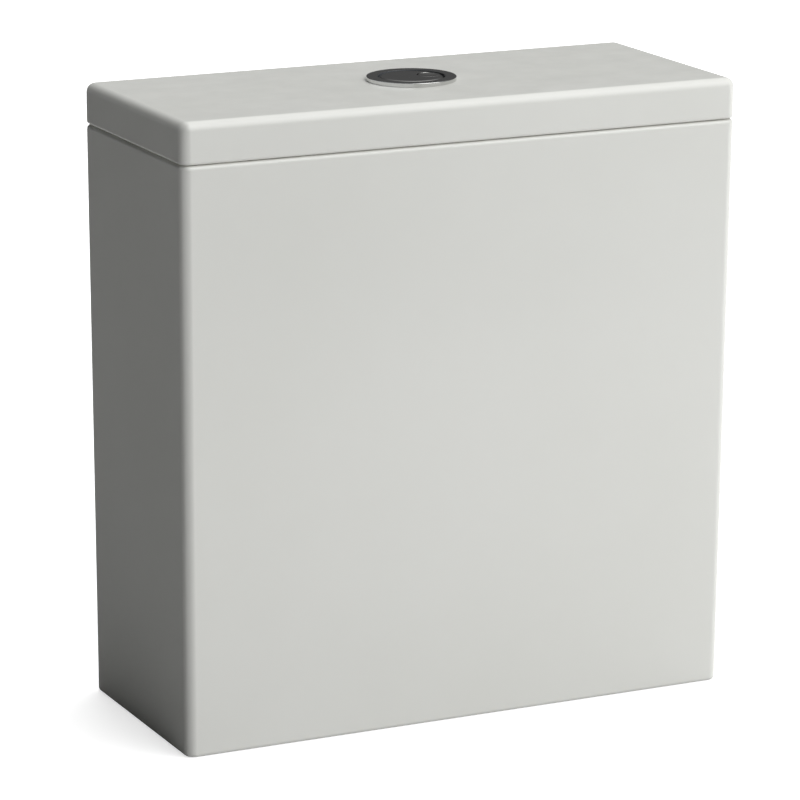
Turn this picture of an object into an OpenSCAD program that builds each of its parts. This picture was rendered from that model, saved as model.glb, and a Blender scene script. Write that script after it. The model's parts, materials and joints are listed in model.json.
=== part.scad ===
// Close-coupled toilet cistern: ceramic tank and lift-off lid, round dual push button,
// flush valve worked by two rockers, and a float-operated fill valve.
// Millimetres. The origin is under the middle of the base, the front faces -Y, and +Z is up.

/* [Tank] */
// Outside width at the seam under the lid
tank_w = 380; // [350:1:420]
// Outside depth at the seam under the lid
tank_d = 160; // [152:1:200]
// Height from the base to the seam
tank_h = 374; // [350:1:420]
// How far each side leans in at the base
side_taper = 2; // [0:0.5:6]
// How far the front leans in at the base
front_taper = 5; // [0:0.5:8]
// Thickness of the ceramic walls
tank_wall = 10; // [7:0.5:12]
// Thickness of the ceramic floor
floor_t = 12; // [8:0.5:16]
// Depth of the recess under the floor
base_recess = 30; // [28:1:40]
// Radius of the upright corners outside
corner_r = 6.5; // [6.5:0.5:12]
// Rounding of the rim's outer edge
rim_r = 3; // [1:0.5:4]
// Rounding of the base edge
base_r = 2.5; // [1:0.5:4]
// Radius of the upright corners inside
cavity_r = 18; // [16:1:26]
// Rounding between the walls and the floor inside
cavity_floor_r = 12; // [4:1:15]
// Radius of the recess's corners
recess_r = 10; // [6:1:16]
// Rounding between the recess's walls and the floor
recess_floor_r = 5; // [2:1:6]
// Distance between the two fixing holes
bolt_spacing = 160; // [150:1:170]
// Diameter of the fixing holes
bolt_hole_d = 12; // [10:0.5:14]

/* [Lid] */
// Height of the lid above the seam
lid_h = 26; // [22:1:34]
// Thickness of the lid's plate
lid_t = 12; // [9:0.5:14]
// Rounding of the lid's top edge
lid_top_r = 6; // [2:0.5:6]
// Rounding of the lid's bottom edge
lid_bottom_r = 2; // [1:0.5:4]
// Depth of the lip that hangs inside the rim
lip_h = 8; // [4:1:14]
// Thickness of the lip
lip_t = 6; // [4:0.5:8]
// Play between the lip and the tank
lip_gap = 2.5; // [1:0.5:4]

/* [Push buttons] */
// Outside diameter of the bezel
bezel_d = 57; // [54:0.5:66]
// Height of the bezel above the lid
bezel_h = 2.6; // [2:0.1:4]
// Rounding of the bezel's rim
bezel_edge_r = 0.9; // [0.4:0.1:1.2]
// Diameter of the full-flush button
full_d = 42; // [38:0.5:44]
// Diameter of the half-flush button
half_d = 15; // [12:0.5:16]
// Distance of each push rod, and of the half button, from the middle
rod_offset = 12.5; // [11.5:0.25:13.5]
// Thickness of a button's cap
cap_t = 3.4; // [2.5:0.1:4]
// Rounding of a button's edge
cap_edge_r = 0.9; // [0.4:0.1:1.2]
// Depth of the dish in the half button
dish_h = 0.7; // [0.3:0.1:1]
// How far the buttons sit below the bezel's top
cap_set = 0.3; // [0:0.1:1]
// Travel of a button
press = 7; // [5:0.5:8]
// Gap all round a button
cap_gap = 0.4; // [0.3:0.1:0.8]
// Height of the skirt under the full button
skirt_h = 5; // [3:0.5:6]
// Thickness of the skirt under the full button
skirt_t = 1.4; // [1:0.2:2]
// Wall of the bezel's sleeve
sleeve_wall = 1.8; // [1.4:0.1:3]
// Thickness of the sleeve's floor
sleeve_floor_t = 3; // [2:0.5:4]
// Length of a return spring as fitted
spring_len = 15; // [14:0.5:16]
// Radius of the full button's stem
full_stem_r = 4.2; // [4:0.1:4.6]
// Radius of the half button's stem
half_stem_r = 3.8; // [3.6:0.1:4]
// Wall of a stem guide
guide_wall = 1.6; // [1:0.2:2]
// Length of a stem below its stop collar
stem_end = 8; // [5:0.5:12]
// Thickness of a stem's stop collar
collar_t = 1.6; // [1:0.2:3]
// Diameter of a push rod
rod_d = 5.6; // [4.5:0.1:6]
// Length of rod inside its stem
rod_hold = 20; // [12:1:24]
// Thickness of the rubber washer under the lid
lid_washer_t = 2; // [1:0.5:3]
// Height of the bezel's ring nut
ring_nut_h = 8; // [6:0.5:10]
// Width of the bezel's ring nut
ring_nut_w = 8; // [6:0.5:12]

/* [Return springs] */
// Wire diameter of the full button's spring
full_wire_d = 1.1; // [0.8:0.1:1.3]
// Wire diameter of the half button's spring
half_wire_d = 0.9; // [0.7:0.1:1.1]
// Number of turns
spring_turns = 5.5; // [4:0.5:6]

/* [Flush valve] */
// Outside diameter of the outlet tail's thread
tail_d = 58; // [54:1:62]
// Wall of the outlet tail
tail_wall = 4; // [3:0.5:5]
// Length of the plain spigot at the tail's end
spigot_len = 10; // [6:1:12]
// Step in from the thread to the spigot
spigot_step = 1.5; // [1:0.25:2]
// Height of the tail's end above the base
tail_lift = 4; // [2:0.5:6]
// Room round a tail in the ceramic floor
hole_room = 2; // [1:0.25:3]
// Height of the outlet backnut
backnut_h = 12; // [8:0.5:14]
// Width of the outlet backnut's ring
backnut_w = 8; // [6:0.5:12]
// Thickness of the seat gasket
gasket_t = 3; // [2:0.5:5]
// Thickness of the seat's flange
flange_t = 4; // [3:0.5:6]
// Height of the seat's lip above the flange
seat_lip_h = 6; // [4:0.5:9]
// Thickness of the seat's lip
seat_lip_t = 3; // [2:0.5:4]
// Thickness of a flat seal
seal_t = 3; // [2:0.5:4]
// How far the main seal reaches past the lip
seal_over = 4; // [3:0.5:5]
// Wall of the flush cylinder and the overflow core
tube_wall = 2.2; // [1.6:0.2:2.6]
// Height of the flush cylinder's rim above the floor
half_level_h = 105; // [95:1:120]
// Outside diameter of the overflow core
core_d = 30; // [26:1:32]
// Height of the overflow's mouth above the floor
overflow_h = 205; // [180:1:215]
// Height of the guide fins on the core
fin_h = 34; // [20:1:34]
// Thickness of the guide fins
fin_t = 2; // [1.6:0.2:3]
// Radial width of the cage's rings
cage_ring_w = 7; // [5:0.5:9]
// Height of the cage's rings
cage_ring_h = 9; // [6:0.5:12]
// Number of the cage's columns
cage_columns = 6; // [5:1:8]
// Width of a cage column
column_w = 11; // [8:0.5:14]

/* [Rockers] */
// Thickness of a rocker
rocker_t = 8; // [6:0.5:9]
// Distance of each rocker from the middle plane
rocker_y = 9; // [8.5:0.25:10]
// Radius of a rocker's hub
hub_r = 4.6; // [4:0.2:5]
// Radius of a rocker's lifting nose
nose_r = 3; // [2.4:0.2:3.4]
// Height of the rod pad above the pin
pad_h = 4; // [3.5:0.25:5]
// Thickness of the rod pad
pad_t = 4; // [3:0.25:4]
// Length of the rod pad along the rocker
pad_l = 8; // [7:0.5:8]
// Diameter of the rocker pin
rocker_pin_d = 4; // [3:0.25:5]
// Thickness of the cheeks that hold the pin
cheek_t = 3; // [2:0.25:3.5]
// Height of the pin above the head's plate
pin_h = 11; // [10:0.5:14]
// Thickness of the head's plate
head_t = 4; // [3:0.5:6]
// Thickness of a lifting strap
strap_t = 3.2; // [2.4:0.2:3.6]
// Width of a lifting strap
strap_w = 6; // [4:0.5:8]
// Height of a lifting hook's bar
hook_t = 4; // [3:0.5:6]

/* [Fill valve] */
// Distance of the fill valve's axis from the tank's left side
fill_inset = 65; // [60:1:70]
// Outside diameter of the inlet tail's thread for the hose
inlet_d = 20.95; // [16.66:0.01:21]
// Bore of the inlet tail
inlet_bore_d = 13; // [10:0.5:14]
// Length of the thread left for the hose
inlet_len = 13; // [10:0.5:14]
// Step from the hose thread to the backnut thread
inlet_step = 0.6; // [0.4:0.1:1]
// Height of the inlet backnut
inlet_nut_h = 9; // [7:0.5:10]
// Width of the inlet backnut across its flats
inlet_nut_af = 34; // [30:0.5:38]
// Diameter of the fill valve's foot flange
foot_d = 38; // [34:1:44]
// Diameter of the riser
riser_d = 25; // [22:0.5:27]
// Height of the riser above the floor
riser_h = 210; // [190:1:225]
// Outside diameter of the float cup
float_d = 60; // [54:1:64]
// Height of the float cup
float_h = 56; // [44:1:60]
// Height of the float's lower edge above the floor in a dry tank
float_rest_h = 108; // [90:1:115]
// Travel of the float
float_travel = 16; // [12:0.5:18]
// Wall of the float cup
float_wall = 1.8; // [1.4:0.2:2.4]
// Distance of the float's link from the fill valve's axis
link_x = 38; // [37:0.5:42]
// Diameter of the link rod
link_d = 4; // [3:0.25:4.5]
// Diameter of the valve head
head_d = 46; // [42:1:50]
// Height of the valve head's housing
head_h = 17; // [17:0.5:22]
// Thickness of the diaphragm's rim
diaphragm_t = 1.6; // [1:0.2:2.4]
// Height of the head cap
head_cap_h = 9; // [7:0.5:12]
// Height of the lever pin above the cap
lever_h = 11; // [10.5:0.25:14]
// Thickness of the float lever
lever_t = 5; // [4:0.25:5.5]
// Width of the float lever
lever_w = 9; // [8:0.5:11]
// Diameter of the lever pin
lever_pin_d = 3.4; // [2.6:0.2:4]
// Distance of the discharge tube behind the fill valve's axis
spout_y = 43; // [42:0.5:46]
// Diameter of the spout inside the discharge tube
spout_d = 14; // [12:0.5:16]
// Wall of the discharge tube
discharge_wall = 1.8; // [1.2:0.2:2.4]
// Height of the discharge tube's end above the floor
discharge_end_h = 36; // [20:1:60]

/* [Fits] */
// Play between a shaft and the piece that turns on it
run_gap = 0.06; // [0.03:0.01:0.1]
// Play between a thread or rod and the piece that holds it fast
hold_gap = 0.1; // [0.05:0.01:0.2]
// Play between pieces that slide past each other
slide_gap = 0.4; // [0.3:0.05:0.6]
// Gap left between a pusher and what it pushes
touch_gap = 0.3; // [0.2:0.05:0.5]
// Gap left under a seal that lifts
seal_gap = 0.1; // [0.05:0.01:0.2]

/* [Hidden] */
$fn = 64;
// Facets of the rounded ceramic edges
edge_fn = 32;
// How far a cut runs past the face it opens
cut = 1;

glaze = [0.93, 0.93, 0.91];
smoke_chrome = [0.42, 0.42, 0.42];
bright_chrome = [0.78, 0.78, 0.79];
steel = [0.66, 0.67, 0.68];
white_plastic = [0.9, 0.9, 0.88];
grey_plastic = [0.62, 0.64, 0.66];
dark_plastic = [0.2, 0.21, 0.22];
blue_plastic = [0.2, 0.4, 0.66];
green_plastic = [0.3, 0.6, 0.36];
red_rubber = [0.6, 0.16, 0.13];
black_rubber = [0.08, 0.08, 0.08];

// Ceramic: outlines at the seam and at the base, as [left, right, front, back]
seam_bounds = [-tank_w / 2, tank_w / 2, -tank_d / 2, tank_d / 2];
base_bounds = [side_taper - tank_w / 2, tank_w / 2 - side_taper, front_taper - tank_d / 2, tank_d / 2];
recess_draft = 1.5;
floor_z = base_recess + floor_t;
lid_z = tank_h + lid_h;
lid_under_z = lid_z - lid_t;
lip_inset = tank_wall + lip_gap;
hollow_inset = lip_inset + lip_t;

// Push buttons
bezel_z = lid_z + bezel_h;
bore_r = full_d / 2 + cap_gap;
sleeve_r = bore_r + sleeve_wall;
cap_z = bezel_z - cap_set;
cap_under_z = cap_z - cap_t;
sleeve_floor_z = cap_under_z - spring_len;
lid_washer_z = lid_under_z - lid_washer_t;
ring_nut_z = lid_washer_z - ring_nut_h;
sleeve_end = 3;
sleeve_z = ring_nut_z - sleeve_end;
ring_nut_r = sleeve_r + ring_nut_w;
collar_over = 1.2;
stem_z = sleeve_z - touch_gap - collar_t - stem_end;
rod_r = rod_d / 2;

// Flush valve, from the floor up
tail_r = tail_d / 2;
tail_bore_r = tail_r - tail_wall;
spigot_r = tail_r - spigot_step;
seat_z = floor_z + gasket_t;
flange_z = seat_z + flange_t;
seat_lip_z = flange_z + seat_lip_h;
seat_lip_r = tail_bore_r + seat_lip_t;
main_seal_r = seat_lip_r + seal_over;
seal_edge = 1;
cylinder_r = main_seal_r - seal_edge;
cylinder_in_r = cylinder_r - tube_wall;
seal_collar_gap = 1.6;
seal_collar_t = 3;
seal_collar_r = tail_bore_r - seal_collar_gap;
port_r = seal_collar_r - seal_collar_t;
cage_in_r = main_seal_r + seal_over;
cage_r = cage_in_r + cage_ring_w;
flange_edge = 2;
flange_r = cage_r + flange_edge;
main_seal_z = seat_lip_z + seal_gap;
cylinder_floor_t = 3;
cylinder_z = main_seal_z + seal_t;
core_lip_h = 3;
core_lip_t = 1.6;
core_lip_z = cylinder_z + cylinder_floor_t + core_lip_h;
core_seal_z = core_lip_z + seal_gap;
core_z = core_seal_z + seal_t;
core_r = core_d / 2;
core_in_r = core_r - tube_wall;
core_flange_t = 3;
core_flange_over = 2;
core_flange_r = port_r + core_lip_t + core_flange_over;
overflow_z = floor_z + overflow_h;
cylinder_top_z = floor_z + half_level_h;

// Rockers: the pin lies on the valve's axis, so one pin carries both
pin_r = rocker_pin_d / 2;
strap_x = sqrt(pow(cylinder_r, 2) - pow(rocker_y, 2));
nose_room = 0.8;
nose_x = strap_x - strap_t - nose_room - nose_r;
tilt = press / rod_offset * 90 / PI;
lift = 2 * nose_x * sin(tilt);
head_room = 3;
head_z = overflow_z + 2 * lift + head_room;
pin_z = head_z + head_t + pin_h;
hook_z = pin_z - nose_x * sin(tilt) + nose_r + touch_gap;
hook_reach = 2 * nose_r;
slot_room = 1.6;
rod_tip_z = pin_z + pad_h / cos(tilt) + rod_offset * tan(tilt) + (rod_r + touch_gap) / cos(tilt) - rod_r;
cheek_in_y = rocker_y - rocker_t / 2 - slide_gap - cheek_t;
cheek_out_y = rocker_y + rocker_t / 2 + slide_gap;
arm_drop = 14;
arm_z = overflow_z - arm_drop;
arm_h = 7;

// Windowed tube round the flush cylinder
column_t = 3;
column_step = 1;
column_rib_t = 2.4;
column_angle = column_w / cage_r * 180 / PI;
collar_drop = 34;
collar_h = 6;
collar_z = cylinder_top_z - collar_drop;

// Fill valve
fill_x = tank_w / 2 - fill_inset;
inlet_r = inlet_d / 2;
inlet_bore_r = inlet_bore_d / 2;
shank_r = inlet_r + inlet_step;
inlet_z = tail_lift;
foot_z = floor_z + gasket_t;
foot_t = 4;
foot_r = foot_d / 2;
grip_h = 9;
riser_r = riser_d / 2;
riser_z = floor_z + riser_h;
float_r = float_d / 2;
float_z = floor_z + float_rest_h;
float_top_z = float_z + float_h;
head_r = head_d / 2;
diaphragm_z = riser_z + head_h;
head_cap_z = diaphragm_z + diaphragm_t;
head_top_z = head_cap_z + head_cap_h;
lever_z = head_top_z + lever_h;
lever_tilt = float_travel / link_x * 90 / PI;
lever_hub_r = 4.4;
lever_ear_t = 3;
lever_pin_r = lever_pin_d / 2;
link_r = link_d / 2;
link_joint_z = lever_z - link_x * tan(lever_tilt);
link_slack = link_x * (1 / cos(lever_tilt) - cos(lever_tilt)) + lever_t * sin(lever_tilt) / 2;
link_stop_over = 2;
link_stop_r = link_r + link_stop_over;
link_stop_t = 2;
link_stop_gap = lever_t / 2 / cos(lever_tilt) + link_stop_r * tan(lever_tilt) + slide_gap;
ear_t = 6;
ear_z = float_top_z - ear_t;
clip_h = 5;
spout_r = spout_d / 2;
spout_lift = 1;
spout_z = riser_z + spout_r + spout_lift;

// Outline moved inwards by t on all four sides
function inset(b, t) = [b[0] + t, b[1] - t, b[2] + t, b[3] - t];
// Outline of the tapering tank at height z
function outline_at(z) = base_bounds + (seam_bounds - base_bounds) * z / tank_h;

// Shared shapes

module post(r, z0, z1) {
    translate([0, 0, z0]) cylinder(r = r, h = z1 - z0);
}

module pipe(ro, ri, z0, z1) {
    difference() {
        post(ro, z0, z1);
        post(ri, z0 - cut, z1 + cut);
    }
}

// Half section of a disc whose upper edge is rounded
module soft_section(r, z0, z1, e) {
    translate([0, z0]) square([r - e, z1 - z0]);
    translate([0, z0]) square([r, z1 - z0 - e]);
    translate([r - e, z1 - e]) circle(r = e);
}

module soft_disc(r, z0, z1, e) {
    rotate_extrude() intersection() {
        soft_section(r, z0, z1, e);
        translate([0, z0]) square([r, z1 - z0]);
    }
}

// Rectangle with round corners
module plate_outline(b, r) {
    translate([b[0] + r, b[2]]) square([b[1] - b[0] - 2 * r, b[3] - b[2]]);
    translate([b[0], b[2] + r]) square([b[1] - b[0], b[3] - b[2] - 2 * r]);
    for (x = [b[0] + r, b[1] - r], y = [b[2] + r, b[3] - r])
        translate([x, y]) circle(r = r);
}

module plate(b, r, z0, z1) {
    translate([0, 0, z0]) linear_extrude(z1 - z0) plate_outline(b, r);
}

// Disc of radius r whose lower edge is rounded by e
module edge_disc(r, e) {
    rotate_extrude($fn = edge_fn) {
        square([r - e, e]);
        translate([r - e, e]) intersection() {
            circle(r = e, $fn = edge_fn);
            translate([0, -e]) square(e);
        }
    }
}

// The four corners of a rounded slab: its underside lies at z, or its top where up is true
module corner_discs(b, z, r, e, up) {
    for (x = [b[0] + r, b[1] - r], y = [b[2] + r, b[3] - r])
        translate([x, y, z]) mirror([0, 0, up ? 1 : 0]) edge_disc(r, e);
}

// The four corners of a slab with square edges, from z up past a face
module corner_posts(b, z, r) {
    for (x = [b[0] + r, b[1] - r], y = [b[2] + r, b[3] - r])
        translate([x, y, z]) cylinder(r = r, h = cut, $fn = edge_fn);
}

module at_fill() {
    translate([-fill_x, 0, 0]) children();
}

// Bar along Y whose section is drawn in X and Z
module along_y(y0, y1) {
    translate([0, y1, 0]) rotate([90, 0, 0]) linear_extrude(y1 - y0) children();
}

// Ceramic

module tank() {
    color(glaze) difference() {
        hull() {
            corner_discs(seam_bounds, tank_h, corner_r, rim_r, true);
            corner_discs(base_bounds, 0, corner_r, base_r, false);
        }
        hull() {
            corner_posts(inset(seam_bounds, tank_wall), tank_h, cavity_r);
            corner_discs(inset(outline_at(floor_z), tank_wall), floor_z, cavity_r, cavity_floor_r, false);
        }
        hull() {
            corner_posts(inset(base_bounds, tank_wall), -cut, recess_r);
            corner_discs(inset(outline_at(base_recess), tank_wall + recess_draft), base_recess,
                recess_r, recess_floor_r, true);
        }
        post(tail_r + hole_room, base_recess - cut, floor_z + cut);
        at_fill() post(shank_r + hole_room, base_recess - cut, floor_z + cut);
        for (side = [-1, 1])
            translate([side * bolt_spacing / 2, 0, 0])
                post(bolt_hole_d / 2, base_recess - cut, floor_z + cut);
    }
}

module lid() {
    color(glaze) difference() {
        union() {
            hull() {
                corner_discs(seam_bounds, tank_h, corner_r, lid_bottom_r, false);
                corner_discs(seam_bounds, lid_z, corner_r, lid_top_r, true);
            }
            plate(inset(seam_bounds, lip_inset), cavity_r - lip_gap, tank_h - lip_h, lid_under_z);
        }
        plate(inset(seam_bounds, hollow_inset), cavity_r - lip_gap - lip_t,
            tank_h - lip_h - cut, lid_under_z);
        post(sleeve_r + hole_room / 2, tank_h, lid_z + cut);
    }
}

// Push buttons

module button_bezel() {
    color(bright_chrome) difference() {
        union() {
            soft_disc(bezel_d / 2, lid_z, bezel_z, bezel_edge_r);
            post(sleeve_r, sleeve_z, lid_z);
        }
        post(bore_r, sleeve_floor_z, bezel_z + cut);
        difference() {
            post(bore_r, sleeve_z - cut, sleeve_floor_z - sleeve_floor_t);
            translate([-rod_offset, 0, 0])
                post(full_stem_r + slide_gap + guide_wall, sleeve_z - cut, sleeve_floor_z);
            translate([rod_offset, 0, 0])
                post(half_stem_r + slide_gap + guide_wall, sleeve_z - cut, sleeve_floor_z);
        }
        translate([-rod_offset, 0, 0]) post(full_stem_r + slide_gap, sleeve_z - cut, sleeve_floor_z + cut);
        translate([rod_offset, 0, 0]) post(half_stem_r + slide_gap, sleeve_z - cut, sleeve_floor_z + cut);
    }
}

module lid_washer() {
    edge = 1;
    color(black_rubber) pipe(ring_nut_r + edge, sleeve_r + slide_gap, lid_washer_z, lid_under_z);
}

module ring_nut() {
    lugs = 8;
    lug_r = 4;
    color(grey_plastic) difference() {
        post(ring_nut_r, ring_nut_z, lid_washer_z);
        post(sleeve_r + hold_gap, ring_nut_z - cut, lid_washer_z + cut);
        for (i = [0 : lugs - 1])
            rotate(i * 360 / lugs) translate([ring_nut_r + lug_r / 2, 0, 0])
                post(lug_r, ring_nut_z - cut, lid_washer_z - ring_nut_h / 4);
    }
}

// Stem of a button, with its stop collar and the blind hole for the push rod
module stem(r) {
    difference() {
        union() {
            post(r, stem_z, cap_under_z + cut);
            post(r + collar_over, sleeve_z - touch_gap - collar_t, sleeve_z - touch_gap);
        }
        post(rod_r + hold_gap, stem_z - cut, stem_z + rod_hold);
    }
}

module full_button() {
    color(smoke_chrome) {
        difference() {
            union() {
                soft_disc(full_d / 2, cap_under_z, cap_z, cap_edge_r);
                pipe(full_d / 2, full_d / 2 - skirt_t, cap_under_z - skirt_h, cap_under_z);
            }
            translate([rod_offset, 0, 0])
                post(half_d / 2 + cap_gap, cap_under_z - skirt_h - cut, cap_z + cut);
        }
        translate([-rod_offset, 0, 0]) stem(full_stem_r);
    }
}

module half_button() {
    dish_r = (pow(half_d / 2 - cap_edge_r, 2) + pow(dish_h, 2)) / (2 * dish_h);
    color(smoke_chrome) translate([rod_offset, 0, 0]) {
        difference() {
            soft_disc(half_d / 2, cap_under_z, cap_z, cap_edge_r);
            translate([0, 0, cap_z + dish_r - dish_h]) sphere(r = dish_r);
        }
        stem(half_stem_r);
    }
}

// Push rod with a round tip, standing in its stem
module push_rod() {
    rotate_extrude() {
        translate([0, rod_tip_z + rod_r]) square([rod_r, stem_z + rod_hold - rod_tip_z - rod_r]);
        intersection() {
            translate([0, rod_tip_z + rod_r]) circle(r = rod_r);
            translate([0, rod_tip_z]) square(rod_r);
        }
    }
}

module full_push_rod() {
    color(white_plastic) translate([-rod_offset, 0, 0]) push_rod();
}

module half_push_rod() {
    color(green_plastic) translate([rod_offset, 0, 0]) push_rod();
}

// Compression springs: one tube of six sides that follows a helix
rings_per_turn = 8;
wire_sides = 6;
spring_rings = rings_per_turn * spring_turns;
full_coil_r = full_stem_r + slide_gap + full_wire_d / 2;
half_coil_r = half_stem_r + slide_gap + half_wire_d / 2;
function spring_rise(wire_d) = spring_len - wire_d - 2 * seal_gap;
function coil_point(i, r, wire_d) = [r * cos(i * 360 / rings_per_turn), r * sin(i * 360 / rings_per_turn),
    wire_d / 2 + seal_gap + spring_rise(wire_d) * i / spring_rings];
function coil_slope(r, wire_d) = atan(spring_rise(wire_d) / spring_turns / (2 * PI * r));
// Point k of ring i, on the circle square to the wire
function wire_point(i, k, r, wire_d) =
    let (turn = i * 360 / rings_per_turn, s = coil_slope(r, wire_d), q = k * 360 / wire_sides)
    coil_point(i, r, wire_d) + wire_d / 2 * [cos(q) * cos(turn) + sin(q) * sin(s) * sin(turn),
        cos(q) * sin(turn) - sin(q) * sin(s) * cos(turn), sin(q) * cos(s)];
// Least distance between the surfaces of two neighbouring turns
function least_gap(r, wire_d) = min([
    for (i = [0 : spring_rings - 1], j = [i + rings_per_turn / 2 : spring_rings])
    norm(coil_point(i, r, wire_d) - coil_point(j, r, wire_d))]) - wire_d;
echo(full_spring_gap = least_gap(full_coil_r, full_wire_d),
    half_spring_gap = least_gap(half_coil_r, half_wire_d));

module coil(r, wire_d) {
    points = [for (i = [0 : spring_rings], k = [0 : wire_sides - 1]) wire_point(i, k, r, wire_d)];
    sides = [for (i = [0 : spring_rings - 1], k = [0 : wire_sides - 1])
        let (a = i * wire_sides + k, b = i * wire_sides + (k + 1) % wire_sides)
        each [[a, a + wire_sides, b], [b, a + wire_sides, b + wire_sides]]];
    last = spring_rings * wire_sides;
    ends = [for (k = [1 : wire_sides - 2]) each [[0, k, k + 1], [last, last + k + 1, last + k]]];
    polyhedron(points, concat(sides, ends));
}

module full_spring() {
    color(steel) translate([-rod_offset, 0, sleeve_floor_z]) coil(full_coil_r, full_wire_d);
}

module half_spring() {
    color(steel) translate([rod_offset, 0, sleeve_floor_z]) coil(half_coil_r, half_wire_d);
}

// Flush valve

module valve_seat() {
    lip_edge = seat_lip_t / 3;
    color(white_plastic) difference() {
        union() {
            post(flange_r, seat_z, flange_z);
            soft_disc(seat_lip_r, flange_z, seat_lip_z, lip_edge);
            post(tail_r, tail_lift + spigot_len, seat_z);
            post(spigot_r, tail_lift, tail_lift + spigot_len);
        }
        post(tail_bore_r, tail_lift - cut, seat_lip_z + cut);
    }
}

module seat_gasket() {
    color(black_rubber) pipe(flange_r - flange_edge, tail_r + slide_gap, floor_z, seat_z);
}

module outlet_backnut() {
    ribs = 12;
    rib_w = 6;
    rib_root = 2;
    rib_over = 2;
    flange_step = 1;
    nut_r = tail_r + backnut_w;
    flange = 2.5;
    nut_z = base_recess - backnut_h;
    bore = tail_r + hold_gap;
    color(white_plastic) {
        translate([0, 0, nut_z]) linear_extrude(backnut_h - flange) difference() {
            union() {
                circle(r = nut_r);
                for (i = [0 : ribs - 1]) rotate(i * 360 / ribs)
                    translate([nut_r - rib_root, -rib_w / 2]) square([rib_root + rib_over, rib_w]);
            }
            circle(r = bore);
        }
        pipe(nut_r + rib_over + flange_step, bore, base_recess - flange, base_recess);
    }
}

// Columns of a windowed tube, each a stretch of turned wall with a rib inside
module columns(z0, z1) {
    outer_r = cage_r - column_step;
    rib_end = 1;
    for (i = [0 : cage_columns - 1]) rotate(i * 360 / cage_columns) {
        rotate(-column_angle / 2) translate([0, 0, z0]) rotate_extrude(angle = column_angle)
            translate([outer_r - column_t, 0]) square([column_t, z1 - z0]);
        translate([cage_in_r + rib_end, -column_rib_t / 2, z0 + rib_end])
            cube([outer_r - column_t / 2 - cage_in_r - rib_end, column_rib_t, z1 - z0 - 2 * rib_end]);
    }
}

// Lower windows, through which the water leaves
module valve_basket() {
    color(grey_plastic) {
        pipe(cage_r, cage_in_r, flange_z, flange_z + cage_ring_h);
        columns(flange_z + cage_ring_h / 2, collar_z);
    }
}

// Ring that joins the basket to the tower and guides the flush cylinder
module tower_collar() {
    bead_w = 1.5;
    bead_h = 3;
    color(dark_plastic) {
        pipe(cage_r, cylinder_r + 2 * slide_gap, collar_z, collar_z + collar_h);
        translate([0, 0, collar_z + (collar_h - bead_h) / 2])
            pipe(cage_r + bead_w, cage_r - bead_w, 0, bead_h);
    }
}

// Upper windows, with the ring that carries the rocker head
module valve_tower() {
    color(grey_plastic) {
        columns(collar_z + collar_h, head_z - cage_ring_h / 2);
        pipe(cage_r, cage_in_r, head_z - cage_ring_h, head_z);
    }
}

module rocker_head() {
    slot_x = nose_x - 3 * nose_r;
    slot_y = rocker_t / 2 + slot_room;
    window_r = 5.5;
    window_x = cage_in_r * 0.55;
    cheek_w = 2 * hub_r;
    plate_z = head_z + head_t;
    rim_h = 3;
    rim_t = 2;
    color(white_plastic) {
        difference() {
            union() {
                post(cage_r, head_z, plate_z);
                pipe(cage_r, cage_r - rim_t, plate_z, plate_z + rim_h);
            }
            for (turn = [0, 180]) rotate(turn) {
                translate([slot_x, -rocker_y - slot_y, head_z - cut])
                    cube([strap_x + slot_room - slot_x, 2 * slot_y, head_t + 2 * cut]);
                translate([window_x, window_x, 0]) post(window_r, head_z - cut, plate_z + cut);
            }
        }
        for (turn = [0, 180], y = [cheek_in_y, cheek_out_y]) rotate(turn)
            along_y(y, y + cheek_t) difference() {
                union() {
                    translate([0, pin_z]) circle(r = hub_r);
                    translate([-cheek_w / 2, plate_z]) square([cheek_w, pin_h]);
                }
                translate([0, pin_z]) circle(r = pin_r + run_gap / 2);
            }
    }
}

module rocker_pin() {
    head = 1.2;
    end_y = cheek_out_y + cheek_t;
    color(steel) {
        along_y(-end_y - head, end_y + head) translate([0, pin_z]) circle(r = pin_r);
        along_y(end_y, end_y + head) translate([0, pin_z]) circle(r = pin_r + head);
    }
}

// Rocker with its rod pad towards -X and its lifting nose towards +X, tilted as it rests
module rocker() {
    pad_room = 1;
    pad_over = rocker_y - rocker_t / 2 - pad_room;
    pad_edge = 2;
    y0 = -rocker_y - rocker_t / 2;
    y1 = -rocker_y + rocker_t / 2;
    arm_step = 1.2;
    arm = nose_r - arm_step;
    hub_step = 0.6;
    hub_flat = hub_r - hub_step;
    translate([0, 0, pin_z]) rotate([0, tilt, 0]) difference() {
        union() {
            along_y(y0, y1) {
                circle(r = hub_r);
                translate([nose_x, 0]) circle(r = nose_r);
                polygon([[0, -hub_flat], [nose_x, -arm], [nose_x, arm], [0, hub_flat]]);
                polygon([[0, -hub_flat], [0, hub_flat], [-rod_offset, pad_h - pad_t / 8],
                    [-rod_offset - pad_l / 3, pad_h - pad_t]]);
            }
            plate([-rod_offset - pad_l / 2, -rod_offset + pad_l / 2, y0, pad_over], pad_edge,
                pad_h - pad_t, pad_h);
        }
        along_y(y0 - cut, y1 + cut) circle(r = pin_r + run_gap);
    }
}

module full_rocker() {
    color(blue_plastic) rocker();
}

module half_rocker() {
    color(green_plastic) rotate(180) rocker();
}

// Strap at the +X side that rises from z and hooks over a rocker's nose
module lifting_strap(z) {
    translate([0, -rocker_y - strap_w / 2, 0]) {
        translate([strap_x - strap_t, 0, z]) cube([strap_t, strap_w, hook_z + hook_t - z]);
        translate([nose_x - hook_reach / 2, 0, hook_z])
            cube([strap_x - nose_x + hook_reach / 2, strap_w, hook_t]);
    }
}

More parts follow.
